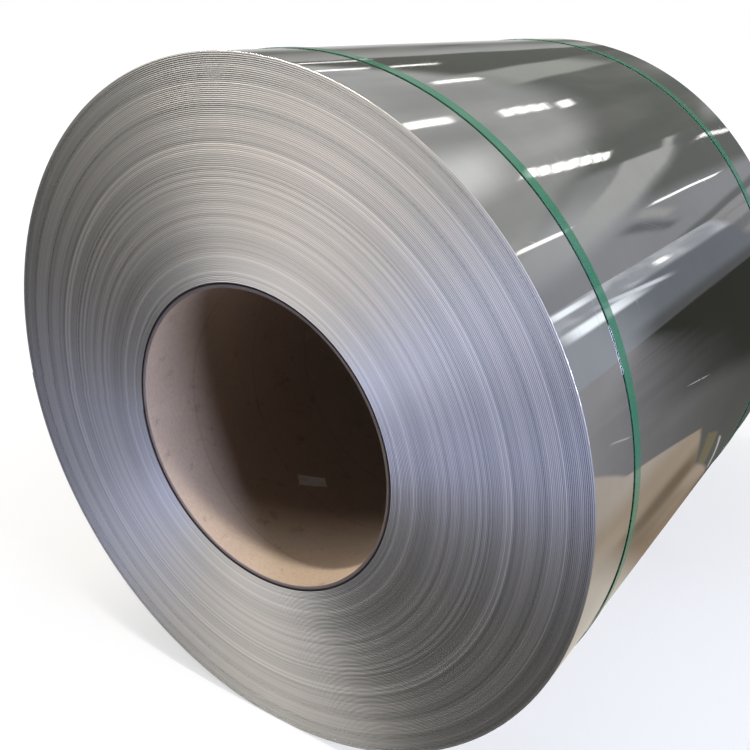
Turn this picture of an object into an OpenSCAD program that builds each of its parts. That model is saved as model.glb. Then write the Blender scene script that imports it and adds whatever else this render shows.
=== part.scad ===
// Steel coil: strip wound on a paper board tube and held by two plastic straps.
// It lies on its barrel. The axis runs along Y, and the end with the bore in view faces -Y.
// The origin is on the floor, below the middle of the axis.

/* [Coil] */
// Outside diameter of the full turns, without the last lap
coil_d = 1380; // [1050:1:1700]
// Width of the strip, which is the length of the coil
strip_w = 1219; // [900:1:1550]
// Thickness of the strip
gauge = 3; // [1.8:0.1:6]
// Rounding of the strip's edges, cut as a bevel: two of them make the groove between turns
edge_break = 0.7; // [0.2:0.05:0.7]
// How far the edges of the last lap lie inside the two ends
tail_set_in = 1; // [0.8:0.1:6]

/* [Tube] */
// Inside diameter of the tube
tube_bore_d = 610; // [500:1:762]
// Wall of the tube
tube_wall = 10; // [5:0.5:18]
// How far each end of the tube lies inside the end of the coil
tube_set_in = 2; // [0.5:0.5:20]
// Bevel on the rims of the tube
tube_break = 1; // [0.5:0.1:2]
// Gap between the tube and the first turn
tube_gap = 0.3; // [0.1:0.1:0.8]

/* [Straps] */
// Width of a strap
strap_w = 25; // [16:1:40]
// Thickness of a strap
strap_t = 1.3; // [0.6:0.1:2]
// Gap between a strap and the barrel
strap_gap = 0.2; // [0.1:0.1:0.5]
// Middle of the front strap, from the front end
front_strap_at = 175; // [60:1:400]
// Middle of the back strap, from the back end
back_strap_at = 151; // [60:1:400]
// Length over which the two ends of a strap lie on each other and are welded
weld_len = 70; // [40:1:150]
// Where the weld starts on the barrel, in degrees up from the right, seen from the front
weld_at = 128; // [100:1:150]
// How far the upper layer of the weld lies inside the edges of the lower one
weld_set_in = 0.6; // [0.3:0.1:3]

/* [Hidden] */
$fn = 180;
half_w = strip_w / 2;
tube_r = tube_bore_d / 2 + tube_wall;
// Bore of the steel and outside of the full turns
bore_r = tube_r + tube_gap;
wound_r = coil_d / 2;
// As many turns as find room, with what is left over shared out as air between them
turns = floor((wound_r - bore_r) / gauge);
pitch = (wound_r - bore_r) / turns;
// The last lap is half a turn on a centre of its own: it leaves the barrel at the right
// and stands a full gauge above it at its cut end on the left
lap_bite = 0.3;
lap_shift = (gauge + lap_bite) / 2;
lap_r = wound_r + (gauge - lap_bite) / 2;
// Outside of a strap, below the last lap
axis_h = lap_r + strap_gap + strap_t;

// Lays what is drawn about Z along the coil's own axis, with its top end at the front
module along_axis() {
    translate([0, 0, axis_h])
        rotate([90, 0, 0])
            children();
}

// One end of the winding: a bevel up, the edge of the strip and a bevel down for every turn
function turn_edges(end) = [
    for (i = [0 : turns - 1])
        let (r = bore_r + i * pitch)
            each [
                [r, end * (half_w - edge_break)],
                [r + edge_break, end * half_w],
                [r + pitch - edge_break, end * half_w]
            ]
];

function backwards(list) = [for (i = [len(list) - 1 : -1 : 0]) list[i]];

// The full turns as one turned solid with its bore
module full_turns() {
    outer_corner = half_w - edge_break;
    rotate_extrude()
        polygon(concat(
            turn_edges(-1),
            [[wound_r, -outer_corner], [wound_r, outer_corner]],
            backwards(turn_edges(1))
        ));
}

// The last half turn, with the cut end of the strip on the left
module last_lap() {
    section = [gauge + lap_bite, strip_w - 2 * tail_set_in];
    translate([-lap_shift, 0, 0])
        rotate([0, 0, 180])
            rotate_extrude(angle = 180)
                translate([lap_r - section[0], -section[1] / 2])
                    square(section);
}

module coil() {
    color([0.72, 0.72, 0.73])
        along_axis() {
            full_turns();
            last_lap();
        }
}

// Paper board tube that lines the bore
module core_tube() {
    half = half_w - tube_set_in;
    r = tube_bore_d / 2;
    b = tube_break;
    color([0.72, 0.55, 0.38])
        along_axis()
            rotate_extrude()
                polygon([
                    [r, -half + b], [r + b, -half], [tube_r - b, -half], [tube_r, -half + b],
                    [tube_r, half - b], [tube_r - b, half], [r + b, half], [r, half - b]
                ]);
}

// What a strap is pulled tight over, grown by a distance: the full turns, the last lap,
// and the straight run from the cut end of the strip down to the turn below it
module barrel_outline(grow) {
    low = wound_r + grow;
    high = low + gauge;
    run = acos(low / high);
    foot = low - gauge / 3;
    circle(r = low);
    intersection() {
        translate([-lap_shift, 0])
            circle(r = lap_r + grow);
        translate([-2 * high, -2 * high])
            square([4 * high, 2 * high]);
    }
    polygon([[-high, 0], [-foot * cos(run), foot * sin(run)], [-wound_r / 2, -wound_r / 4]]);
}

// A strap about Z with its middle at z = 0, and the second layer where its ends are welded
module strap() {
    top = wound_r + strap_gap + strap_t;
    layer = [1.5 * strap_t, strap_w - 2 * weld_set_in];
    translate([0, 0, -strap_w / 2])
        linear_extrude(strap_w)
            difference() {
                barrel_outline(strap_gap + strap_t);
                barrel_outline(strap_gap);
            }
    rotate([0, 0, weld_at])
        rotate_extrude(angle = weld_len / top * 180 / PI)
            translate([top - strap_t / 2, -layer[1] / 2])
                square(layer);
}

module strap_front() {
    color([0.12, 0.5, 0.33])
        along_axis()
            translate([0, 0, half_w - front_strap_at])
                strap();
}

module strap_back() {
    color([0.12, 0.5, 0.33])
        along_axis()
            translate([0, 0, back_strap_at - half_w])
                strap();
}

coil();
core_tube();
strap_front();
strap_back();
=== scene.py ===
# %% [markdown]
# # A coil of bright steel strip
# One long strip of cold-rolled steel is wound on a paper board tube and held by two plastic
# straps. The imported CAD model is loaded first, as a frame that is never moved or changed.
# Every piece below is then dressed in the same two steps: a finish, and the shape that wears it.

# %% Load the frame
import math

import bmesh
import bpy
import numpy as np
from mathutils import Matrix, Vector


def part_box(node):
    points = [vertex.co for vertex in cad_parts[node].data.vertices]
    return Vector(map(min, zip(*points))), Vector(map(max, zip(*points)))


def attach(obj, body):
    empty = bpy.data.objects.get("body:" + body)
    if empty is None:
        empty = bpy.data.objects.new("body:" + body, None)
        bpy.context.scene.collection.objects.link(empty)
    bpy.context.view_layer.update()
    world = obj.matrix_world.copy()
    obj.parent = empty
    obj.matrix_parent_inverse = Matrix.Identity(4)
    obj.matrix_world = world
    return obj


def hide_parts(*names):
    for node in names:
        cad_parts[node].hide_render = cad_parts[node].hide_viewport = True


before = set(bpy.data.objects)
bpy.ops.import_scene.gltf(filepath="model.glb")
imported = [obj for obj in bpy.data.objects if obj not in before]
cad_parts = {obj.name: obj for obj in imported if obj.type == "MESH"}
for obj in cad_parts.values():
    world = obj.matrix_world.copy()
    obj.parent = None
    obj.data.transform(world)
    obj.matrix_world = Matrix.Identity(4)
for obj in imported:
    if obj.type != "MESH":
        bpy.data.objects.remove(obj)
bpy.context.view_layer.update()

# %% [markdown]
# The sizes are read from the frame, so that a changed CAD model dresses itself again. The coil
# lies along Y with its front end at -Y. The middle of the tube's box gives the height of the
# axis, and the coil's box gives the full turns on its right and the last lap on its left. A box
# doesn't show the wall of the tube and its gap to the first turn, so these two are given here.

# %% Read the coil's sizes
MM = 0.001
coil_low, coil_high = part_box("coil")
tube_low, tube_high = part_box("core_tube")
AXIS_H = (tube_low.z + tube_high.z) / 2
HALF_W = (coil_high.y - coil_low.y) / 2
WOUND_R = coil_high.x
GAUGE = -coil_low.x - WOUND_R
TUBE_R = (tube_high.x - tube_low.x) / 2
TUBE_HALF = (tube_high.y - tube_low.y) / 2
TUBE_WALL = 10 * MM
TUBE_GAP = 0.3 * MM
TUBE_BORE_R = TUBE_R - TUBE_WALL
BORE_R = TUBE_R + TUBE_GAP
TURNS = int((WOUND_R - BORE_R) / GAUGE)
PITCH = (WOUND_R - BORE_R) / TURNS
print(f"radius {WOUND_R:.4f}, gauge {GAUGE:.4f}, axis at {AXIS_H:.4f}")
print(f"{TURNS} turns of {PITCH / MM:.3f} mm")

# %% [markdown]
# Node trees are long to write by hand, so two small classes come first. `Wire` holds one socket
# and lends it Python's arithmetic, so that `1 - mask * 0.5` becomes the Math nodes it needs. It
# works for shaders and for Geometry Nodes, because the Math node is the same in both.

# %% A socket that can be calculated with
class Wire:
    """One output socket that takes part in Python expressions."""

    def __init__(self, nodes, socket):
        self.nodes = nodes
        self.socket = socket

    def calc(self, operation, *values):
        return self.nodes.add("ShaderNodeMath", {"operation": operation}, dict(enumerate(values)))

    def of(self, function):
        """A function of this value alone, such as SINE or FLOOR."""
        return self.calc(function, self)

    def __add__(self, other):
        return self.calc("ADD", self, other)

    def __radd__(self, other):
        return self.calc("ADD", other, self)

    def __sub__(self, other):
        return self.calc("SUBTRACT", self, other)

    def __rsub__(self, other):
        return self.calc("SUBTRACT", other, self)

    def __mul__(self, other):
        return self.calc("MULTIPLY", self, other)

    def __rmul__(self, other):
        return self.calc("MULTIPLY", other, self)

    def __truediv__(self, other):
        return self.calc("DIVIDE", self, other)

    def __rtruediv__(self, other):
        return self.calc("DIVIDE", other, self)

    def __pow__(self, other):
        return self.calc("POWER", self, other)

    def __gt__(self, other):
        return self.calc("GREATER_THAN", self, other)

    def __lt__(self, other):
        return self.calc("LESS_THAN", self, other)

    def at_least(self, other):
        return self.calc("MAXIMUM", self, other)

    def at_most(self, other):
        return self.calc("MINIMUM", self, other)

    def ramp(self, start, end):
        """0 below start, 1 above end, smooth between; start may be the larger."""
        return self.nodes.add(
            "ShaderNodeMapRange", {"interpolation_type": "SMOOTHSTEP"},
            {"Value": self, "From Min": start, "From Max": end})

    def within(self, low, high, soft):
        """1 between two places, 0 outside, with a soft edge."""
        return self.ramp(low - soft, low + soft) * self.ramp(high + soft, high - soft)


print("sockets can be calculated with")

# %% [markdown]
# `Nodes` holds a tree and adds any node by one method: its type, its settings, then its sockets.
# The patterns that come back all the time get a short name of their own. A noise is drawn out
# into streaks by giving it values that are scaled differently in each direction.

# %% A tree that grows by one method
class Nodes:
    """A node tree that grows by one method."""

    def __init__(self, tree):
        self.tree = tree

    def add(self, kind, settings=None, sockets=None, out=0):
        node = self.tree.nodes.new(kind)
        for name, value in (settings or {}).items():
            setattr(node, name, value)
        for key, value in (sockets or {}).items():
            if isinstance(value, Wire):
                self.tree.links.new(value.socket, node.inputs[key])
            else:
                node.inputs[key].default_value = value
        return Wire(self, node.outputs[out])

    def point(self):
        """The place on the surface, in the object's own coordinates."""
        return self.add("ShaderNodeTexCoord", None, None, "Object")

    def parts(self, vector):
        split = self.add("ShaderNodeSeparateXYZ", None, {0: vector}).socket.node
        return [Wire(self, socket) for socket in split.outputs]

    def vector(self, x, y, z):
        return self.add("ShaderNodeCombineXYZ", None, {0: x, 1: y, 2: z})

    def cloud(self, point, scale, detail, roughness=0.5):
        """Noise in space."""
        return self.add("ShaderNodeTexNoise", {"noise_dimensions": "3D"}, {
            "Vector": point, "Scale": scale, "Detail": detail, "Roughness": roughness})

    def streaks(self, u, v, w, detail):
        """Noise over three values that carry their own scale."""
        return self.cloud(self.vector(u, v, w), 1.0, detail)

    def wander(self, value, detail, roughness=0.5):
        """Noise along one value."""
        return self.add("ShaderNodeTexNoise", {"noise_dimensions": "1D"}, {
            "W": value, "Scale": 1.0, "Detail": detail, "Roughness": roughness})

    def lot(self, number):
        """A random value for each whole number."""
        return self.add("ShaderNodeTexWhiteNoise", {"noise_dimensions": "1D"}, {"W": number})

    def bump(self, strength, distance, height):
        return self.add("ShaderNodeBump", None, {
            "Strength": strength, "Distance": distance, "Height": height})

    def blend(self, factor, first, second):
        """A colour between two: Mix keeps it a colour."""
        return self.add("ShaderNodeMix", {"data_type": "RGBA"}, {0: factor, 6: first, 7: second}, 2)

    def layers(self, colour, *layers):
        """Colours laid over one another, each where its mask is 1."""
        for mask, over in layers:
            colour = self.blend(mask, colour, over)
        return colour


print("node helpers ready")

# %% [markdown]
# A finish is one Principled shader. What is the same all over is set on its sockets, and what
# changes over the surface is linked. All patterns read Object coordinates, and because every
# piece sits at the origin these are the coil's own: on a wound thing the useful ones are the
# radius, the angle round the axis and the place along it.

# %% Start a finish
def empty_finish(name):
    material = bpy.data.materials.new(name)
    material.use_nodes = True
    return material, Nodes(material.node_tree)


def new_finish(name, constants):
    material, nodes = empty_finish(name)
    shader = material.node_tree.nodes["Principled BSDF"]
    for socket, value in constants.items():
        shader.inputs[socket].default_value = value
    return material, nodes, shader


def feed(material, shader, **wires):
    """Links what changes over the surface, and gives the finished material."""
    for socket, wire in wires.items():
        material.node_tree.links.new(wire.socket, shader.inputs[socket.replace("_", " ")])
    print("finish", material.name, len(material.node_tree.nodes), "nodes")
    return material


def coil_coordinates(nodes):
    """Object coordinates as a point, the radius, the angle and the place along the axis."""
    point = nodes.point()
    x, y, z = nodes.parts(point)
    up = z - AXIS_H
    radius = (x * x + up * up).of("SQRT")
    angle = up.calc("ARCTAN2", up, x)
    return point, radius, angle, y


print("finish helpers ready")

# %% [markdown]
# The rolled face of the strip is the barrel. Cold rolling leaves it close to a mirror, with a
# grain of hair-fine lines along the strip, soft cloudy smears and a few scratches. An image of
# scratches could be used, but noise that is stretched along the strip gives the same lines with
# no file: a noise is squeezed across the strip until it is all thin streaks.

# %% Finish of the rolled face
def rolled_face():
    material, nodes, shader = new_finish("rolled_face", {"Metallic": 1.0, "IOR": 1.5})
    point, _, angle, along = coil_coordinates(nodes)
    run = angle * WOUND_R
    grain = nodes.streaks(run * 2.5, along * 420, 0, 2.0)
    clouds = nodes.cloud(point, 2.6, 4.0, 0.6)
    slant = nodes.streaks(run * 260 + along * 90, along * 5 - run * 2, 0, 1.0)
    hair = nodes.streaks(run * 3 + along * 1.5, along * 230 - run * 40, 4.0, 1.0)
    scratch = slant.ramp(0.73, 0.77) * 0.6 + hair.ramp(0.72, 0.76)
    roughness = 0.014 + grain * 0.015 + clouds.ramp(0.42, 0.75) * 0.04 + scratch * 0.11
    bright, smeared = (0.61, 0.61, 0.61, 1), (0.52, 0.515, 0.51, 1)
    colour = nodes.blend(clouds.ramp(0.3, 0.8), bright, smeared)
    bump = nodes.bump(0.05, 0.2 * MM, grain + scratch * 0.5)
    return feed(material, shader, Base_Color=colour, Roughness=roughness, Normal=bump)


ROLLED_FACE = rolled_face()

# %% [markdown]
# The barrel is the outside of the winding. A plain cylinder would reflect ruler-straight lines,
# and real strip never does: it is a little slack, so the reflections wander. The skin is made
# in mesh code, because the rule is simple: a ring of columns, each with the same rows from the
# bore over the outside and back. The last half turn stands off by one gauge at its cut end.

# %% Helpers for turned shapes
def close_and_turn_out(mesh):
    """Joins points that meet at a seam and turns the faces outward."""
    work = bmesh.new()
    work.from_mesh(mesh)
    bmesh.ops.remove_doubles(work, verts=work.verts, dist=0.02 * MM)
    if work.calc_volume(signed=True) < 0:
        bmesh.ops.reverse_faces(work, faces=work.faces)
    work.to_mesh(mesh)
    work.free()


def as_piece(name, mesh, material, sharp):
    """A finished mesh as an object at the origin, smooth up to an angle."""
    close_and_turn_out(mesh)
    mesh.materials.clear()
    mesh.materials.append(material)
    mesh.shade_smooth()
    mesh.set_sharp_from_angle(angle=math.radians(sharp))
    piece = bpy.data.objects.new(name, mesh)
    bpy.context.scene.collection.objects.link(piece)
    points = [vertex.co for vertex in mesh.vertices]
    low, high = np.min(points, 0), np.max(points, 0)
    print(f"{name}: {len(mesh.polygons)} faces from {np.round(low, 4)} to {np.round(high, 4)}")
    return piece


def skin(name, grid, material, sharp):
    """A closed mesh over a grid of points that joins up in both directions."""
    columns, rows = grid.shape[:2]
    index = np.arange(columns * rows).reshape(columns, rows)
    ahead, over = np.roll(index, -1, 0), np.roll(index, -1, 1)
    faces = np.stack([index, ahead, np.roll(ahead, -1, 1), over], -1).reshape(-1, 4)
    mesh = bpy.data.meshes.new(name)
    mesh.from_pydata(grid.reshape(-1, 3).tolist(), [], faces.tolist())
    return as_piece(name, mesh, material, sharp)


def turned(angle, radius, along):
    """Points on a turned shape, about the coil's own axis."""
    return np.stack(np.broadcast_arrays(
        radius * np.cos(angle), along, AXIS_H + radius * np.sin(angle)), -1)


print("helpers for turned shapes ready")

# %% [markdown]
# The wander of the reflections is a sum of four long waves, only 0.2 mm high. That is far too
# little to see in the outline, but a mirror doubles every tilt.

# %% Skin the barrel
def outline(angle):
    """Radius of the barrel at an angle: round above, and the last lap growing below."""
    lap = GAUGE * (1 - np.cos(angle)) / 2
    return WOUND_R + np.where(np.sin(angle) < -1e-9, lap, 0.0)


def barrel_grid():
    lap_depth, corner, slack = 1.6 * MM, 0.4 * MM, 0.22 * MM
    column_step, cut_end, row_count = 0.5, 0.01, 61
    steps = np.radians(np.arange(0, 360, column_step))
    columns = np.sort(np.append(steps, math.pi + math.radians(cut_end)))[:, None]
    half = HALF_W - lap_depth
    rows = np.linspace(-half + corner, half - corner, row_count)[None, :]
    turns = columns + 0.7 * rows
    wave = (np.sin(3 * turns + 9 * rows) + np.sin(5 * columns - 7 * rows + 1.3)
            + 0.6 * np.sin(8 * turns + 15 * rows + 0.4) + 0.4 * np.sin(2 * columns + 21 * rows))
    radius = outline(columns)
    bore = np.full_like(columns, BORE_R)
    outside = turned(columns, radius - slack * (1 + wave / 3), rows)
    front, back = (np.array([[end * half]]) for end in (-1, 1))
    edge = [turned(columns, radius - corner - slack, end) for end in (front, back)]
    mouth = [turned(columns, bore, end) for end in (front, back)]
    return np.concatenate([mouth[0], edge[0], outside, edge[1], mouth[1]], 1)


wound_strip = skin("wound_strip", barrel_grid(), ROLLED_FACE, sharp=30)
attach(wound_strip, "root")
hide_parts("coil")

# %% [markdown]
# The ends of the coil show the slit edge of the strip, once for every turn. Slit edges are
# satin, not mirror: they were sheared, not rolled. Laps that were wound together differ from
# their neighbours a little in tone, so the finish changes with the radius, in fine and in broad
# rings, and slightly round the axis. A few single laps are also made much lighter: a painted
# highlight, as of laps that stand proud and catch the light.

# %% Finish of the slit edges
def slit_edge():
    material, nodes, shader = new_finish("slit_edge", {"Metallic": 1.0, "IOR": 1.5})
    point, radius, angle, _ = coil_coordinates(nodes)
    growth = (angle < 0.0) * (1 - angle.of("COSINE")) / 2
    lap = (radius - BORE_R) / PITCH - growth
    single = nodes.lot(lap.of("FLOOR"))
    fine = nodes.wander(lap * 0.42, 2.0, 0.7)
    group = nodes.wander(lap * 0.13 + 2.1, 1.0)
    broad = nodes.wander(lap * 0.045 + 7.3, 1.0)
    patches = nodes.cloud(point, 2.2, 3.0)
    burr = nodes.streaks(angle * 180, lap * 3, 0, 2.0)
    rings = fine.ramp(0.3, 0.7) * 0.35 + group.ramp(0.3, 0.7) * 0.35 + broad.ramp(0.3, 0.7) * 0.2
    # Painted highlight: a few single laps, picked at random, are made much lighter, as laps that stand
    # proud and catch the light.
    tone = rings + single * 0.1 + single.ramp(0.90, 0.93) * 0.45 - single.ramp(0.09, 0.06) * 0.3
    tone = tone + 0.1 - lap * (0.3 / TURNS)
    warm, cool, rosy = (0.66, 0.64, 0.615, 1), (0.61, 0.615, 0.64, 1), (0.66, 0.615, 0.62, 1)
    straw, shaded = (0.63, 0.605, 0.535, 1), (0.38, 0.375, 0.37, 1)
    tinted = nodes.layers(
        warm,
        (patches.ramp(0.35, 0.65), cool),
        (group.ramp(0.45, 0.6) * 0.5, rosy),
        (lap * (0.55 / TURNS), straw))
    colour = nodes.blend(tone, shaded, tinted)
    roughness = 0.24 + tone * 0.08 + burr * 0.08
    bump = nodes.bump(0.12, 0.15 * MM, burr)
    return feed(material, shader, Base_Color=colour, Roughness=roughness, Normal=bump)


SLIT_EDGE = slit_edge()
FACING_AN_END = 0.9
wound_strip.data.materials.append(SLIT_EDGE)
for face in wound_strip.data.polygons:
    face.material_index = int(abs(face.normal.y) > FACING_AN_END)

# %% [markdown]
# What follows a rule or repeats is grown by Geometry Nodes. Each tree has one named input for
# every size, so that one tree serves the front and the back. It ends in Realize Instances and
# Set Material, and what it grows is then taken as a plain mesh, which any program can read.

# %% Helpers for Geometry Nodes
SOCKETS = {float: "NodeSocketFloat", int: "NodeSocketInt", bpy.types.Material: "NodeSocketMaterial"}


def new_tree(name, values):
    """A tree with one named input for each value; gives the tree and a wire for each input."""
    tree = bpy.data.node_groups.new(name, "GeometryNodeTree")
    for label, value in values.items():
        tree.interface.new_socket(label, in_out="INPUT", socket_type=SOCKETS[type(value)])
    tree.interface.new_socket("Geometry", in_out="OUTPUT", socket_type="NodeSocketGeometry")
    nodes = Nodes(tree)
    inlet = tree.nodes.new("NodeGroupInput")
    return nodes, {label: Wire(nodes, inlet.outputs[label]) for label in values}


def end_tree(nodes, geometry, material):
    """Every tree ends in Realize Instances and Set Material."""
    whole = nodes.add("GeometryNodeRealizeInstances", None, {"Geometry": geometry})
    dressed = nodes.add("GeometryNodeSetMaterial", None, {"Geometry": whole, "Material": material})
    outlet = nodes.tree.nodes.new("NodeGroupOutput")
    nodes.tree.links.new(dressed.socket, outlet.inputs[0])


def grown_mesh(name, nodes, values):
    """Runs a tree on an empty object and gives the result as a plain mesh."""
    holder = bpy.data.objects.new(name, bpy.data.meshes.new(name))
    bpy.context.scene.collection.objects.link(holder)
    modifier = holder.modifiers.new("grow", "NODES")
    modifier.node_group = nodes.tree
    for socket in nodes.tree.interface.items_tree:
        if socket.in_out == "INPUT":
            modifier[socket.identifier] = values[socket.name]
    graph = bpy.context.evaluated_depsgraph_get()
    mesh = bpy.data.meshes.new_from_object(holder.evaluated_get(graph))
    holder.modifiers.remove(modifier)
    bpy.data.objects.remove(holder)
    return mesh


def even_line(nodes, count):
    """A line of points at equal distances, and the share of the way at each."""
    line = nodes.add("GeometryNodeCurvePrimitiveLine", None, {"End": (1, 0, 0)})
    line = nodes.add("GeometryNodeResampleCurve", None, {"Curve": line, "Count": count})
    return line, nodes.add("GeometryNodeSplineParameter")


def bent_line(nodes, line, place):
    """The same points moved to new places, with the section of a sweep kept upright."""
    path = nodes.add("GeometryNodeSetPosition", None, {"Geometry": line, "Position": place})
    return nodes.add("GeometryNodeSetCurveNormal", {"mode": "Z_UP"}, {"Curve": path})


print("tree helpers ready")

# %% [markdown]
# The turns themselves are real geometry, because light plays on them as on a record: each lap
# is a tiny rounded ridge, and together they throw a bow-tie of sheen. Drawing 124 rings would
# be easy, but the real thing is one line, so Geometry Nodes follow the winding rule: a straight
# line is cut into points of equal length, every point is moved to its place on the spiral, and
# a rounded section is swept along it. Above the axis the laps are round, and below it each one
# grows outwards by a pitch, which is how the last lap leaves the barrel.

# %% Wind the edge of the strip
def lap_crown(nodes, inputs):
    """The rounded section of one lap: a half circle, closed and squashed."""
    crown = nodes.add("GeometryNodeCurveArc", {"mode": "RADIUS"}, {
        "Resolution": 5, "Radius": 1.0, "Start Angle": math.pi, "Sweep Angle": math.pi})
    crown = nodes.add("GeometryNodeSetSplineCyclic", None, {"Geometry": crown, "Cyclic": True})
    half_lap = inputs["Pitch"] * inputs["Fill"] / 2
    return nodes.add("GeometryNodeTransform", None, {
        "Geometry": crown, "Scale": nodes.vector(half_lap, inputs["Crown"], 1.0)})


def winding_tree(values):
    nodes, inputs = new_tree("wound_edge", values)
    first_r = inputs["Bore"] + inputs["Pitch"] / 2
    last_r = first_r + inputs["Pitch"] * inputs["Turns"]
    line, share = even_line(nodes, inputs["Points"])
    spread = first_r * first_r * (1 - share) + last_r * last_r * share
    turn = (spread ** 0.5 - first_r) / inputs["Pitch"]
    angle = math.pi - turn * math.tau
    side, up = angle.of("COSINE"), angle.of("SINE")
    growth = (up < -1e-4) * (1 - side) / 2
    radius = first_r + inputs["Pitch"] * ((turn + 1e-5).of("FLOOR") + growth)
    swing = nodes.wander(turn * 0.37, 2.0)
    dish = nodes.wander(turn * 0.05 + 3.0, 0.0)
    tail = turn.ramp(inputs["Turns"] - 0.7, inputs["Turns"] - 0.3)
    proud = inputs["Wander"] * (swing * 0.7 + dish * 0.3 - 1) - inputs["Tail set in"] * tail
    place = nodes.vector(radius * side, radius * up * inputs["Facing"], proud)
    swept = nodes.add("GeometryNodeCurveToMesh", None, {
        "Curve": bent_line(nodes, line, place), "Profile Curve": lap_crown(nodes, inputs),
        "Fill Caps": True})
    turned_up = nodes.add("GeometryNodeTransform", None, {
        "Geometry": swept,
        "Rotation": nodes.vector(inputs["Facing"] * (math.pi / 2), 0.0, 0.0),
        "Translation": nodes.vector(0.0, inputs["Facing"] * inputs["End"] * -1, inputs["Axis"])})
    end_tree(nodes, turned_up, inputs["Finish"])
    return nodes


WINDING = {
    "Bore": BORE_R, "Pitch": PITCH, "Turns": float(TURNS), "Fill": 1.08, "Crown": 0.85 * MM,
    "Points": 17000, "Wander": 0.5 * MM, "Tail set in": 0.3 * MM, "End": HALF_W - 0.95 * MM,
    "Axis": AXIS_H, "Facing": 1.0, "Finish": SLIT_EDGE}
winding = winding_tree(WINDING)
for name, facing in (("turns_front", 1.0), ("turns_back", -1.0)):
    edges = grown_mesh(name, winding, {**WINDING, "Facing": facing})
    turns = as_piece(name, edges, SLIT_EDGE, sharp=80)
    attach(turns, "root")

# %% [markdown]
# The tube is spiral-wound kraft board. Its wall shows the overlap of each ply as a faint line
# that climbs round the bore, long fibres, and grey scuffs from handling. A helix is a straight
# line once the wall is unrolled, so the seam is found by adding a share of the angle to the
# place along the axis.

# %% Finish of the board
def kraft_board():
    material, nodes, shader = new_finish("kraft_board", {"IOR": 1.45, "Specular IOR Level": 0.25})
    point, radius, angle, along = coil_coordinates(nodes)
    ply_width = 0.19
    climb = (along + angle * (ply_width / math.tau)) / ply_width
    part = climb.of("FRACT")
    seam = part.ramp(0.012, 0.0) + part.ramp(0.97, 1.0) * 0.35
    ply = nodes.lot(climb.of("FLOOR"))
    fibre = nodes.streaks(angle * 40, along * 420, radius * 300, 4.0)
    scuff = nodes.cloud(point, 6.0, 5.0, 0.65)
    stain = nodes.cloud(point, 19.0, 4.0, 0.7)
    tone = fibre * 0.5 + ply * 0.25 + scuff * 0.25
    board = nodes.blend(tone.ramp(0.2, 0.8), (0.43, 0.325, 0.24, 1), (0.59, 0.46, 0.35, 1))
    # Painted shade: the outer part of each cut end is near black, standing in for the shadowed gap to
    # the first turn.
    depth = (radius - TUBE_BORE_R) / TUBE_WALL
    end_face_and_gap_shade = nodes.blend(depth.ramp(0.52, 0.72), (0.33, 0.275, 0.26, 1), (0.06, 0.042, 0.042, 1))
    at_end = along.of("ABSOLUTE").ramp(TUBE_HALF - 2.6 * MM, TUBE_HALF - 1.6 * MM)
    colour = nodes.layers(
        board,
        (scuff.ramp(0.56, 0.78) * 0.5, (0.40, 0.355, 0.32, 1)),
        (stain.ramp(0.58, 0.72) * 0.4, (0.20, 0.15, 0.11, 1)),
        (seam * 0.4, (0.21, 0.14, 0.09, 1)),
        (at_end, end_face_and_gap_shade))
    bump = nodes.bump(0.3, 0.4 * MM, fibre * 0.4 - seam)
    return feed(material, shader, Base_Color=colour, Roughness=0.72 + fibre * 0.2, Normal=bump)


KRAFT_BOARD = kraft_board()

# %% [markdown]
# The tube is a turned ring. Its two ends are cut across the plies, so they get shallow steps,
# and the wall is a fraction of a millimetre out of round, as board that carries tonnes is.

# %% Turn the tube
def tube_grid():
    plies, step, rim = 6, 0.35 * MM, 0.8 * MM
    rim_end, wall_rows, out_of_round = 2 * MM, 25, 0.25 * MM
    columns = np.radians(np.arange(0, 360, 1.0))[:, None]
    radii, places = [], []
    for end in (-1, 1):
        order = range(plies) if end < 0 else range(plies - 1, -1, -1)
        for ply in order:
            low, high = (TUBE_BORE_R + TUBE_WALL * (ply + k) / plies for k in (0, 1))
            sunk = rim * (ply in (0, plies - 1)) + step * (ply % 2)
            radii += [low, high] if end < 0 else [high, low]
            places += [end * (TUBE_HALF - sunk)] * 2
        wall = np.linspace(end * (TUBE_HALF - rim_end), -end * (TUBE_HALF - rim_end), wall_rows)
        radii += [TUBE_R if end < 0 else TUBE_BORE_R] * wall_rows
        places += wall.tolist()
    radii, places = np.array(radii)[None, :], np.array(places)[None, :]
    inside = radii < TUBE_BORE_R + 0.1 * MM
    flat = out_of_round * (1 + np.sin(2 * columns + 0.5) * np.cos(2.2 * places))
    return turned(columns, radii + inside * flat, places)


board_tube = skin("board_tube", tube_grid(), KRAFT_BOARD, sharp=40)
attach(board_tube, "root")
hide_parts("core_tube")

# %% [markdown]
# A small blank paper label sticks to the wall of the bore, turned along the winding of the
# board. Paper is matt, a little uneven and soon grimy, so two noises are enough: a very fine one
# for the fibres and a broad one for the grime.

# %% Finish of the label
def plain_paper():
    material, nodes, shader = new_finish("plain_paper", {"Specular IOR Level": 0.3})
    point = nodes.point()
    fibre = nodes.cloud(point, 900.0, 3.0)
    grime = nodes.cloud(point, 60.0, 4.0)
    colour = nodes.blend(grime.ramp(0.4, 0.7), (0.93, 0.93, 0.92, 1), (0.80, 0.79, 0.76, 1))
    bump = nodes.bump(0.15, 0.1 * MM, fibre)
    return feed(material, shader, Base_Color=colour, Roughness=0.55 + fibre * 0.2, Normal=bump)


PLAIN_PAPER = plain_paper()

# %% [markdown]
# The label is a thin sheet that follows the wall, with one corner lifting. A flat plane could be
# bent by a modifier, but here its grid is laid out flat and then wrapped by the same rule as the
# tube: across the sheet becomes angle, along it becomes depth.

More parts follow.
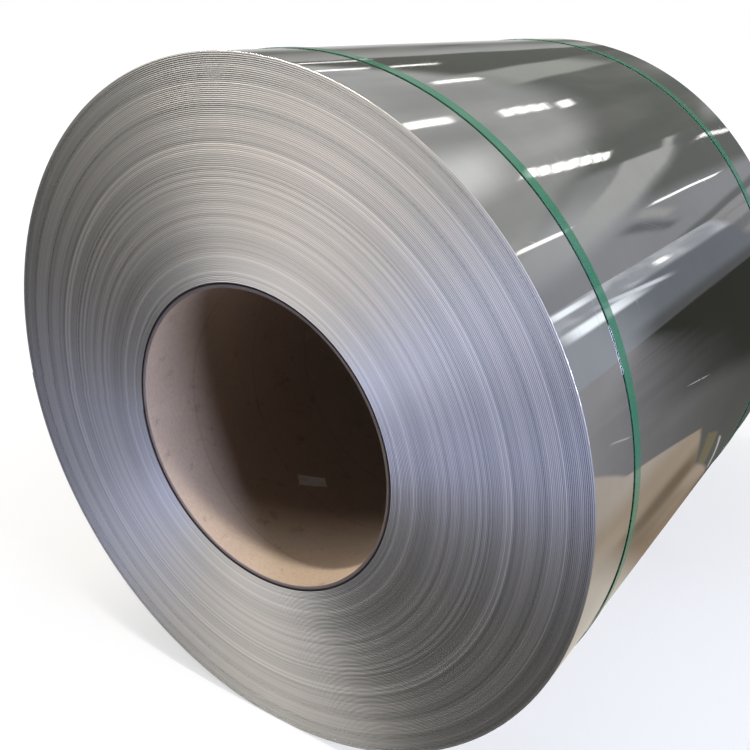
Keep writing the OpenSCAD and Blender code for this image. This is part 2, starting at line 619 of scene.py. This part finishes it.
# %% Wrap the label on the wall
def label_grid():
    length, width, thick = 70 * MM, 31 * MM, 0.25 * MM
    turn = math.radians(40)
    middle_angle, middle_depth = math.radians(-118), -HALF_W + 326 * MM
    glue, corner_lift, lift_from = 0.05 * MM, 2.5 * MM, 0.55
    u, v = np.meshgrid(np.linspace(-0.5, 0.5, 21), np.linspace(-0.5, 0.5, 11), indexing="ij")
    across = u * length * math.sin(turn) + v * width * math.cos(turn)
    depth = u * length * math.cos(turn) - v * width * math.sin(turn)
    lift = corner_lift * np.clip(u + v - lift_from, 0, None) / (1 - lift_from)
    under = TUBE_BORE_R - glue - lift
    angle = middle_angle + across / TUBE_BORE_R
    return [turned(angle, layer, middle_depth + depth) for layer in (under, under - thick)]


def sheet_mesh(name, under, upper):
    """A thin closed sheet between two grids of points."""
    columns, rows = under.shape[:2]
    index = np.arange(columns * rows).reshape(columns, rows)
    quads = np.stack([index[:-1, :-1], index[1:, :-1], index[1:, 1:], index[:-1, 1:]], -1).reshape(-1, 4)
    rim = np.concatenate([index[:, 0], index[-1, 1:], index[-2::-1, -1], index[0, -2:0:-1]])
    ahead = np.roll(rim, -1)
    shift = columns * rows
    sides = np.stack([rim, rim + shift, ahead + shift, ahead], -1)
    faces = np.concatenate([quads[:, ::-1], quads + shift, sides[:, ::-1]])
    points = np.concatenate([under.reshape(-1, 3), upper.reshape(-1, 3)])
    mesh = bpy.data.meshes.new(name)
    mesh.from_pydata(points.tolist(), [], faces.tolist())
    return mesh


bore_label = as_piece("bore_label", sheet_mesh("bore_label", *label_grid()), PLAIN_PAPER, sharp=40)
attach(bore_label, "root")

# %% [markdown]
# The straps are extruded polyester band, green and glossy. Rollers emboss a fine waffle into
# it, and its smooth skin mirrors the lights in short glints. The waffle is two crossed sets of
# waves, so it needs only the run round the barrel and the place along it. The smooth skin is the
# shader's coat, a clear layer with a gloss of its own.

# %% Finish of the straps
def green_band():
    material, nodes, shader = new_finish("green_band", {
        "IOR": 1.5, "Specular IOR Level": 0.08, "Coat Roughness": 0.05, "Coat IOR": 1.62})
    point, _, angle, along = coil_coordinates(nodes)
    run = angle * WOUND_R
    knot = 2.4 * MM
    across = (run + along) * (math.tau / knot)
    back = (run - along) * (math.tau / knot)
    waffle = across.of("SINE") * back.of("SINE")
    drawn = nodes.streaks(run * 6, along * 900, 0, 2.0)
    wear = nodes.cloud(point, 22.0, 4.0, 0.6)
    ripple = nodes.streaks(run * 34, along * 46, 2.0, 1.0)
    deep, fresh, worn = (0.005, 0.100, 0.045, 1), (0.016, 0.178, 0.084, 1), (0.09, 0.22, 0.15, 1)
    colour = nodes.layers(
        deep, (drawn * 0.6 + waffle * 0.15, fresh), (wear.ramp(0.6, 0.8) * 0.25, worn))
    bump = nodes.bump(0.3, 0.25 * MM, waffle * 0.4 + drawn * 0.3 + ripple * 12)
    return feed(
        material, shader, Base_Color=colour, Roughness=0.26 + wear * 0.16, Normal=bump,
        Coat_Weight=0.75 + wear.ramp(0.65, 0.4) * 0.25)


GREEN_BAND = green_band()

# %% [markdown]
# A strap follows the barrel, and where the strip ends it runs straight from the cut end down to
# the turn below. That is a path with a rule, so Geometry Nodes sweep it: a line of points is
# bent to the outline, and a rectangle with rounded corners is swept along it.

# %% Path and section of a strap
def strap_path(nodes, inputs, first, last, points, raise_by):
    """Points on the path between two shares of a full circle, lifted by a height."""
    line, share = even_line(nodes, points)
    angle = (first + (last - first) * share) * math.tau
    side, up = angle.of("COSINE"), angle.of("SINE")
    low = inputs["Radius"] + raise_by
    run = (low / (low + inputs["Step"])).of("ARCCOSINE")
    lean = (angle - (math.pi - run)).at_least(0.0).at_most(run)
    above = low / lean.of("COSINE")
    below = low + inputs["Step"] * (1 - side) / 2
    lower = angle > math.pi
    radius = above * (1 - lower) + below * lower
    drift = inputs["Drift"] * (angle * 2 + inputs["Phase"]).of("SINE")
    return bent_line(nodes, line, nodes.vector(radius * side, radius * up, drift))


def band(nodes, path, width, thickness, caps):
    section = nodes.add("GeometryNodeCurvePrimitiveQuadrilateral", None, {
        "Width": thickness, "Height": width})
    section = nodes.add("GeometryNodeFilletCurve", {"mode": "POLY"}, {
        "Curve": section, "Count": 2, "Radius": thickness * 0.35, "Limit Radius": True})
    return nodes.add("GeometryNodeCurveToMesh", None, {
        "Curve": path, "Profile Curve": section, "Fill Caps": caps})


print("path and section of a strap ready")

# %% [markdown]
# At the weld the two ends of a strap lie on each other, so the same path is cut short and raised
# by one thickness. The welding head leaves a row of fine ridges across the overlap: one small
# bar, repeated on points along the path.

# %% Run the straps
def weld_ridges(nodes, path, width, thick):
    """One small bar on every point of a path."""
    spots = nodes.add("GeometryNodeCurveToPoints", {"mode": "EVALUATED"}, {"Curve": path})
    turn = Wire(nodes, spots.socket.node.outputs["Rotation"])
    bar = nodes.add("GeometryNodeMeshCube", None, {
        "Size": nodes.vector(width * 0.8, thick * 0.5, thick * 0.55)})
    return nodes.add("GeometryNodeInstanceOnPoints", None, {
        "Points": spots, "Instance": bar, "Rotation": turn})


def strap_tree(values):
    hoop_points, lap_points, ridge_points, bare_share = 721, 24, 19, 0.28
    nodes, inputs = new_tree("strap_band", values)
    width, thick = inputs["Width"], inputs["Thickness"]
    start = inputs["Weld at"]
    end = start + inputs["Weld span"]
    bare = (end - start) * bare_share
    hoop = strap_path(nodes, inputs, inputs["Seam"], inputs["Seam"] + 1.0, hoop_points, thick / 2)
    lap = strap_path(nodes, inputs, start, end, lap_points, thick * 1.45)
    ridges = strap_path(nodes, inputs, start + bare, end - bare, ridge_points, thick * 1.95)
    join = nodes.tree.nodes.new("GeometryNodeJoinGeometry")
    for part in (band(nodes, hoop, width, thick, False), band(nodes, lap, width * 0.965, thick, True),
                 weld_ridges(nodes, ridges, width, thick)):
        nodes.tree.links.new(part.socket, join.inputs[0])
    laid = nodes.add("GeometryNodeTransform", None, {
        "Geometry": Wire(nodes, join.outputs[0]),
        "Rotation": (math.pi / 2, 0.0, 0.0),
        "Translation": nodes.vector(0.0, inputs["Place"], inputs["Axis"])})
    end_tree(nodes, laid, inputs["Finish"])
    return nodes


STRAP_T = 1.3 * MM
STRAP_GAP = 0.2 * MM
WELD_AT = 128 / 360
WELD_LEN = 0.070
front_low, front_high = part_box("strap_front")
STRAP_W = front_high.y - front_low.y
STRAP = {
    "Radius": WOUND_R + STRAP_GAP, "Step": GAUGE, "Width": STRAP_W, "Thickness": STRAP_T,
    "Drift": 0.8 * MM, "Phase": 0.4, "Seam": 0.0, "Weld at": WELD_AT,
    "Weld span": WELD_LEN / (math.tau * WOUND_R), "Place": 0.0, "Axis": AXIS_H, "Finish": GREEN_BAND}
strap_nodes = strap_tree(STRAP)
for node, phase in (("strap_front", 0.4), ("strap_back", 2.1)):
    low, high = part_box(node)
    mesh = grown_mesh(node, strap_nodes, {**STRAP, "Place": (low.y + high.y) / 2, "Phase": phase})
    strap = as_piece("green_" + node, mesh, GREEN_BAND, sharp=15)
    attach(strap, "root")
    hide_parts(node)

# %% [markdown]
# The photo's background is white and empty, so the stage is a pale floor and a white world. A
# floor that is lit to pure white would need more light on the coil than its colours stand, so
# part of the floor's white is its own glow, seen by the camera, by gloss and through glass. The
# rest is plain diffuse and keeps the shadow. To light that bounces the floor is dark, or it
# would fill the bore, which in the photo is black a forearm's length inside.

# %% Floor and world
def seen_directly(nodes):
    """1 for the rays that show a background: camera, glossy and transmission rays."""
    path = nodes.add("ShaderNodeLightPath").socket.node
    camera, glossy, clear = (
        Wire(nodes, path.outputs[f"Is {kind} Ray"]) for kind in ("Camera", "Glossy", "Transmission"))
    return camera.at_least(glossy.at_least(clear))


def end_finish(nodes, shader):
    nodes.tree.links.new(shader.socket, nodes.tree.nodes["Material Output"].inputs["Surface"])


def pale_floor():
    material, nodes = empty_finish("pale_floor")
    glow = nodes.add("ShaderNodeEmission", None, {"Color": (1, 1, 1, 1), "Strength": 1.08})
    seen = seen_directly(nodes)
    to_light, to_the_eye = (0.16, 0.16, 0.16, 1), (0.76, 0.76, 0.76, 1)
    plain = nodes.add("ShaderNodeBsdfDiffuse", None, {"Color": nodes.blend(seen, to_light, to_the_eye)})
    away = nodes.add("ShaderNodeVectorMath", {"operation": "LENGTH"}, {0: nodes.point()}, "Value")
    share = 0.6 + away.ramp(0.9, 2.6) * 0.4
    end_finish(nodes, nodes.add("ShaderNodeMixShader", None, {0: seen * share, 1: plain, 2: glow}))
    return material


def flat_card(name, corners, material):
    mesh = bpy.data.meshes.new(name)
    mesh.from_pydata(corners, [], [(0, 1, 2, 3)])
    mesh.materials.append(material)
    card = bpy.data.objects.new(name, mesh)
    bpy.context.scene.collection.objects.link(card)
    return card


FLOOR_REACH = 60.0
AMBIENT = 0.006
floor_corners = [(x * FLOOR_REACH, y * FLOOR_REACH, 0) for x, y in ((-1, -1), (1, -1), (1, 1), (-1, 1))]
flat_card("floor", floor_corners, pale_floor())
world = bpy.data.worlds.new("studio")
bpy.context.scene.world = world
world.use_nodes = True
sky = Nodes(world.node_tree)
background = world.node_tree.nodes["Background"]
background.inputs["Color"].default_value = (1, 1, 1, 1)
sky.tree.links.new((AMBIENT + seen_directly(sky) * (1 - AMBIENT)).socket, background.inputs["Strength"])
print("floor and world ready, ambient", AMBIENT)

# %% [markdown]
# A mirror is only as good as what it faces. In an empty white world the barrel would be white,
# so large cards stand around it, as flags and panels do in a product studio. They are the six
# sides of a box, and each one is painted by a rule from the place on it. Only glossy rays see
# them, so they light nothing and cast no shadow.

# %% Helpers for the cards
BOX = {"left": -11.0, "right": 13.0, "front": -14.0, "back": 42.0, "above": 7.0, "below": 4 * MM}


def card_finish(name, paint):
    """A glowing finish whose colour is painted from the place on the card."""
    material, nodes = empty_finish(name)
    colour = paint(nodes, *nodes.parts(nodes.point()))
    end_finish(nodes, nodes.add("ShaderNodeEmission", None, {"Color": colour, "Strength": 1.0}))
    return material


def box_side(fixed):
    """The corners of one side of the box."""
    sides = {"x": ("left", "right"), "y": ("front", "back"), "z": ("below", "above")}
    spans = [[BOX[fixed]] if fixed in pair else [BOX[end] for end in pair] for pair in sides.values()]
    corners = [(x, y, z) for x in spans[0] for y in spans[1] for z in spans[2]]
    return [corners[k] for k in (0, 1, 3, 2)]


def gloss_card(name, corners, paint):
    """A card that is seen by glossy rays alone."""
    card = flat_card(name, corners, card_finish(name, paint))
    for ray in ("camera", "diffuse", "transmission", "volume_scatter", "shadow"):
        setattr(card, "visible_" + ray, False)


print("card helpers ready")

# %% [markdown]
# The card above is dull, so that the barrel has a dark middle. Its near end is paler, a pale
# field lies on its right, and slanting bands cross it. Every form is a mask from the place on
# the card, and the masks are laid over one another from the ground up.

# %% Ground and bands of the card above
def ground_above(nodes, x, y):
    mottle = nodes.streaks(x * 0.35, y * 0.12, 0, 3.0)
    near = nodes.blend(mottle.ramp(0.35, 0.65), (0.43, 0.44, 0.43, 1), (0.58, 0.59, 0.57, 1))
    dull = nodes.blend(mottle.ramp(0.4, 0.6), (0.175, 0.185, 0.17, 1), (0.225, 0.23, 0.215, 1))
    right = nodes.layers(
        (0.32, 0.325, 0.32, 1),
        (x.ramp(2.6, 5.6), (0.54, 0.55, 0.56, 1)),
        (x.ramp(6.0, 11.0), (0.37, 0.385, 0.44, 1)))
    far = nodes.blend(x.ramp(4.8, 6.6), (0.18, 0.187, 0.178, 1), (0.36, 0.37, 0.39, 1))
    reach = 0.12 + (x - 4.0).at_least(0.0) * 0.55
    beyond = ((y - 19.2) / (reach + 0.5)).ramp(-1.0, 1.0)
    pale = ((y - 15.5) / reach).ramp(-1.0, 1.0) * ((y - 18.7) / reach).ramp(1.0, -1.0)
    pale = pale * x.ramp(2.45, 2.57) * x.ramp(6.8, 4.2)
    notch = x.within(1.9, 2.6, 0.06) * y.within(17.65, 18.5, 0.06)
    return nodes.layers(
        near,
        (y.ramp(12.1, 14.2), dull),
        (x.ramp(2.4, 2.9) * y.ramp(12.0, 14.0), right),
        (x.ramp(1.8, 2.4) * beyond, far),
        (pale.at_least(notch), (0.56, 0.57, 0.55, 1)))


def bands_above(nodes, x, y, ground):
    streak = x - y * 0.28
    pale_streak = streak.within(0.35, 0.85, 0.15) * y.within(20.8, 26.0, 1.2)
    dark_streak = streak.within(1.1, 1.65, 0.2) * y.within(21.2, 30.0, 1.2)
    slant = x + y * 0.21 + 1.55
    beside_beam = slant.ramp(-0.7, -1.1) * y.ramp(11.8, 13.4)
    beam = slant.within(-0.85, 0.85, 0.15) * y.ramp(12.0, 14.0) * y.ramp(21.0, 18.2)
    near_glow = x.within(0.2, 2.0, 0.8) * y.within(6.0, 9.8, 0.9)
    far_field = x.within(-3.5, 1.2, 0.8) * y.ramp(19.4, 21.2)
    front = nodes.blend(x.ramp(8.0, 11.0), (1.1, 1.07, 1.02, 1), (1.1, 1.2, 1.55, 1))
    return nodes.layers(
        ground,
        (pale_streak, (0.5, 0.505, 0.495, 1)),
        (dark_streak, (0.20, 0.207, 0.225, 1)),
        (y.ramp(35.5, 38.5), (0.20, 0.205, 0.21, 1)),
        (beside_beam, (0.15, 0.155, 0.14, 1)),
        (beam, (0.44, 0.45, 0.415, 1)),
        (near_glow, (1.0, 1.0, 1.0, 1)),
        (far_field, (0.54, 0.54, 0.52, 1)),
        (y.ramp(2.0, -7.0), front))


print("ground and bands of the card above ready")

# %% [markdown]
# Rows of small lights run along the card above. They are what gives the barrel its long broken
# glints. A row is a narrow strip of the card, whole or cut into dashes, and some rows lean.

# %% Rows of lights on the card above
# Middle across, first and last place along, width, lean, spacing of the dashes, brightness
LIGHT_ROWS = (
    (-10.2, 13.2, 15.8, 0.22, 0.0, None, 2.6),
    (-7.7, 11.2, 12.8, 0.22, 0.0, None, 2.8),
    (-7.6, 13.4, 15.2, 0.22, 0.0, None, 2.8),
    (-4.5, 11.4, 12.9, 0.26, 0.0, None, 2.8),
    (-1.6, 8.2, 9.4, 0.35, 0.0, None, 2.8),
    (-1.5, 10.9, 12.5, 0.42, 0.0, 0.52, 2.8),
    (-1.45, 12.95, 13.35, 0.42, 0.0, None, 2.8),
    (1.62, 10.8, 14.45, 0.40, 0.09, 0.52, 3.2),
    (5.3, 12.8, 15.0, 0.24, 0.0, None, 2.0),
    (6.1, 21.4, 27.6, 0.20, 0.0, None, 2.2),
    (2.5, 20.5, 23.6, 0.24, 0.08, 0.6, 2.2),
)
DASH_SHARE = 0.7
DASH_SLANT = 0.4


def paint_above(nodes, x, y, z):
    field = bands_above(nodes, x, y, ground_above(nodes, x, y))
    for middle, first, last, width, lean, spacing, bright in LIGHT_ROWS:
        across = x - middle - (y - first) * lean
        lit = across.within(-width / 2, width / 2, 0.05) * y.within(first, last, 0.08)
        if spacing:
            place = (y - x * DASH_SLANT + 50.0) / spacing
            lit = lit * (place.of("FRACT") < DASH_SHARE)
        field = nodes.blend(lit, field, (bright, bright * 0.98, bright * 0.95, 1))
    return field


gloss_card("card_above", box_side("above"), paint_above)
print("card above with", len(LIGHT_ROWS), "rows of lights")

# %% [markdown]
# The side cards are grey. The right one is bluish and carries two bright strips, which are the
# cool streaks low on the barrel. The left one grows bright towards its front end, because the
# laps at twelve and at six o'clock look there.

# %% Cards at the sides
def paint_left(nodes, x, y, z):
    mottle = nodes.streaks(y * 0.25, z * 0.4, 0, 2.0)
    dull = nodes.blend(mottle.ramp(0.35, 0.65), (0.145, 0.148, 0.135, 1), (0.25, 0.252, 0.235, 1))
    return nodes.layers(
        dull,
        (z.ramp(4.4, 2.2), (0.62, 0.62, 0.61, 1)),
        (y.ramp(9.0, 3.0), dull),
        (z.ramp(3.6, 6.8), (0.44, 0.445, 0.43, 1)),
        (y.ramp(-3.4, -6.2), (0.72, 0.695, 0.65, 1)),
        (y.ramp(-7.5, -10.5) * z.ramp(0.3, 1.2), (3.6, 3.45, 3.25, 1)),
        (z.ramp(3.0, 7.0) * y.ramp(-2.0, -8.0), (1.1, 1.07, 1.02, 1)))


def paint_right(nodes, x, y, z):
    mottle = nodes.streaks(0, y * 0.3, z * 0.6, 3.0)
    high = nodes.blend(mottle.ramp(0.4, 0.6), (0.44, 0.47, 0.51, 1), (0.68, 0.71, 0.76, 1))
    low_far = z.ramp(1.8, 0.6) * y.ramp(24.0, 28.0)
    low_strip = z.within(3.75, 4.65, 0.2) * y.ramp(21.4, 23.6) * y.ramp(31.0, 24.6)
    high_strip = z.within(6.15, 6.75, 0.15) * y.ramp(22.6, 24.0) * y.ramp(28.0, 24.6)
    line = z + (y - 26.9) * 0.205 - 4.9
    line = line.within(-0.22, 0.22, 0.12) * y.within(26.0, 31.5, 1.0)
    small_light = y.within(32.75, 33.85, 0.1) * z.within(5.55, 6.1, 0.08)
    return nodes.layers(
        (0.43, 0.46, 0.515, 1),
        (y.ramp(22.5, 29.0), (0.215, 0.235, 0.265, 1)),
        (low_far, (0.13, 0.135, 0.14, 1)),
        (z.ramp(4.7, 5.3), high),
        (low_strip + high_strip, (1.5, 1.6, 1.7, 1)),
        (line, (0.95, 1.0, 1.1, 1)),
        (small_light, (2.4, 2.4, 2.4, 1)),
        (y.ramp(9.0, 2.0), (0.27, 0.275, 0.3, 1)))


gloss_card("card_left", box_side("left"), paint_left)
gloss_card("card_right", box_side("right"), paint_right)
print("side cards ready")

# %% [markdown]
# The bright panel in front makes the bow-tie of sheen on the laps. It is warm on its left and
# bluish on its right, and so are the two wings of the bow-tie. The card behind is plain.

# %% Cards in front and behind
def mottled(nodes, x, z, dark, light):
    mottle = nodes.streaks(x * 0.3, z * 0.6, 0, 2.0)
    return nodes.blend(mottle.ramp(0.4, 0.6), dark, light)


def paint_panel(nodes, x, y, z):
    dull = mottled(nodes, x, z, (0.28, 0.28, 0.285, 1), (0.42, 0.42, 0.43, 1))
    panel = nodes.layers(
        (2.0, 1.95, 1.9, 1),
        (x.ramp(-3.0, -7.5), (4.2, 4.0, 3.75, 1)),
        (x.ramp(-1.5, 2.5), (2.2, 2.55, 4.1, 1)),
        (x.ramp(4.2, 6.4), (2.45, 2.5, 3.1, 1)),
        (x.ramp(6.4, 8.4), (1.6, 1.62, 1.95, 1)))
    return nodes.blend(z.ramp(0.6, 1.7) * z.ramp(7.0, 6.2) * x.ramp(12.0, 8.5), dull, panel)


def paint_back(nodes, x, y, z):
    return mottled(nodes, x, z, (0.24, 0.245, 0.25, 1), (0.40, 0.40, 0.41, 1))


gloss_card("card_front", box_side("front"), paint_panel)
gloss_card("card_back", box_side("back"), paint_back)
print("cards in front and behind ready")

# %% [markdown]
# The card below is beige beside the coil, dark beyond it and lilac in front. Just in front of
# the coil it is dark: a painted shadow of the coil. A dark brown streak on the beige field is
# painted shadow too. The beige field has three straight edges, which the barrel bends into the
# sharp corner low on its right, and a few thin pale marks lie beyond it.

# %% Card below
# Lean, place, first and last place across
PALE_DASHES = ((0.7, 0.755, 1.94, 2.16), (0.235, 2.304, 1.6, 1.77))


def beige_field(nodes, x, y, stains):
    """The beige field, as the mask of its outline and its colour."""
    rear = (2.196 - x * 0.69).at_least(0.064 + x * 0.8)
    rear = rear.at_most((x * 1.6 - 0.21).at_least(1.07))
    mask = x.within(0.2, 2.0, 0.06) * y.ramp(-0.61, -0.49) * (y - rear).ramp(0.025, -0.025)
    streak = x.within(0.80, 0.91, 0.04) * y.within(0.5, 1.1, 0.1)
    colour = nodes.layers(
        (0.27, 0.205, 0.145, 1),
        (x.ramp(0.85, 1.0), (0.44, 0.36, 0.275, 1)),
        (x.ramp(1.05, 1.35), (0.56, 0.50, 0.44, 1)),
        (stains.ramp(0.45, 0.65) * 0.4, (0.60, 0.52, 0.43, 1)),
        (y.ramp(0.5, 0.15), (0.64, 0.585, 0.51, 1)),
        # Painted shadow: a dark brown streak on the beige field.
        (streak * 0.7, (0.17, 0.135, 0.095, 1)),
        (x.ramp(0.62, 0.50) * y.ramp(0.7, 1.0), (0.13, 0.115, 0.09, 1)))
    return mask, colour


def paint_below(nodes, x, y, z):
    stains = nodes.streaks(x * 1.6, y * 0.7, 0, 3.0)
    away = x - y * 0.48 + stains * 0.3
    behind = x.ramp(0.35, 0.0) * y.ramp(0.75, 1.5) * x.ramp(-6.0, -3.0)
    olive = (y - x * 2.0 + 0.34).within(-0.13, 0.06, 0.03) * y.within(1.08, 1.38, 0.02)
    stripe = (y - x * 1.263 - 0.373).within(-0.015, 0.015, 0.01) * y.within(1.09, 1.33, 0.015)
    field = nodes.layers(
        (0.045, 0.045, 0.04, 1),
        (y.ramp(2.9, 2.1), (0.105, 0.105, 0.098, 1)),
        (away.ramp(0.1, 1.8), (0.40, 0.40, 0.425, 1)),
        (x.ramp(-2.0, -9.0), (0.19, 0.19, 0.18, 1)),
        (behind, (0.5, 0.5, 0.52, 1)),
        (olive, (0.20, 0.175, 0.115, 1)),
        beige_field(nodes, x, y, stains),
        (stripe, (0.55, 0.55, 0.52, 1)))
    for lean, place, first, last in PALE_DASHES:
        dash = (y - x * lean - place).within(-0.012, 0.012, 0.012) * x.within(first, last, 0.02)
        field = nodes.blend(dash, field, (0.7, 0.7, 0.7, 1))
    lilac = nodes.blend(y.ramp(-1.7, -2.3), (0.39, 0.385, 0.445, 1), (0.80, 0.90, 1.42, 1))
    edge = x + y.ramp(-3.0, -6.0) * 1.4
    return nodes.layers(
        field,
        # Painted shadow of the coil: the dark strip just in front of it.
        (y.ramp(-0.6, -0.9), (0.14, 0.135, 0.12, 1)),
        (y.ramp(-1.1, -1.8) * edge.ramp(-0.6, 0.1), lilac))


gloss_card("card_below", box_side("below"), paint_below)
print("six cards ready")

# %% [markdown]
# The far end needs a sheen of its own, or it would be a dull disc from behind. Three smaller
# cards stand there, low and out of the barrel's sight: one straight behind and one at each corner.

# %% Cards for the far end
def paint_plain(nodes, x, y, z):
    return nodes.blend(z.ramp(0.0, 1.5), (0.75, 0.75, 0.78, 1), (1.15, 1.12, 1.1, 1))


def paint_corner(nodes, x, y, z):
    return nodes.blend(z.ramp(0.4, 2.4), (2.2, 2.2, 2.3, 1), (3.6, 3.5, 3.4, 1))


def upright(middle, across, low, high):
    """Corners of an upright card from its middle on the floor and half its width."""
    (x, y), (u, v) = middle, across
    return [(x - u, y - v, low), (x + u, y + v, low), (x + u, y + v, high), (x - u, y - v, high)]


gloss_card("card_behind", upright((0.0, 3.2), (0.8, 0.0), 0.02, 1.5), paint_plain)
gloss_card("card_far_right", upright((4.8, 4.4), (0.65, -0.75), 0.5, 2.7), paint_corner)
gloss_card("card_far_left", upright((-5.6, 3.7), (0.55, 0.85), 0.5, 2.7), paint_corner)
print("three cards at the far end")

# %% [markdown]
# Four soft boxes light what isn't a mirror. A long narrow one hangs overhead, just in front of
# the coil's front end, so that its light rakes the laps and reaches only a hand's breadth into
# the bore. One at the right is for the left wall of the bore and one at the upper left for its
# lower right, and one over the barrel is for the straps and the floor.

# %% Lamps
def soft_box(name, place, target, size, power, colour, glint):
    lamp = bpy.data.lights.new(name, "AREA")
    lamp.shape = "RECTANGLE"
    lamp.size, lamp.size_y = size
    lamp.energy = power
    lamp.color = colour
    box = bpy.data.objects.new(name, lamp)
    box.location = place
    box.rotation_euler = (Vector(target) - Vector(place)).to_track_quat("-Z", "Y").to_euler()
    box.visible_camera = False
    box.visible_glossy = glint
    bpy.context.scene.collection.objects.link(box)


soft_box("overhead", (-0.95, -0.965, 3.8), (-0.95, -0.96, 0.0), (1.9, 0.1), 98, (1.0, 0.94, 0.85), True)
soft_box("right_side", (4.6, -1.2, 1.8), (0.0, -0.6, 0.7), (1.6, 1.0), 300, (0.66, 0.73, 1.0), True)
soft_box("front_fill", (-1.9, -1.7, 3.5), (0.0, -0.6, 0.4), (1.4, 0.9), 46, (1.0, 0.98, 0.94), False)
soft_box("top", (0.8, 0.4, 3.6), (0.2, 0.2, 0.7), (1.6, 1.6), 32, (1.0, 1.0, 1.0), False)
print("four soft boxes ready")

# %% [markdown]
# The camera repeats the photo's: at about eye height in front of the bore, to the right of the
# axis, looking down a little. Its place was found by fitting the outline of both rims, the
# straps and the bore. The picture was cropped off-centre, and that is the lens shift.

# %% Camera
LOOKS_DOWN, TURNS_LEFT = 25.92, 33.52
camera_data = bpy.data.cameras.new("camera")
camera_data.sensor_width = 36.0
camera_data.lens = 41.395
camera_data.shift_x = -0.0467
camera_data.shift_y = 0.0867
camera = bpy.data.objects.new("camera", camera_data)
camera.location = (1.0646, -1.6791, 1.42435)
camera.rotation_euler = (math.radians(90 - LOOKS_DOWN), 0, math.radians(TURNS_LEFT))
bpy.context.scene.collection.objects.link(camera)
bpy.context.scene.camera = camera
bpy.context.scene.view_settings.view_transform = "Standard"
print("camera at", tuple(camera.location))
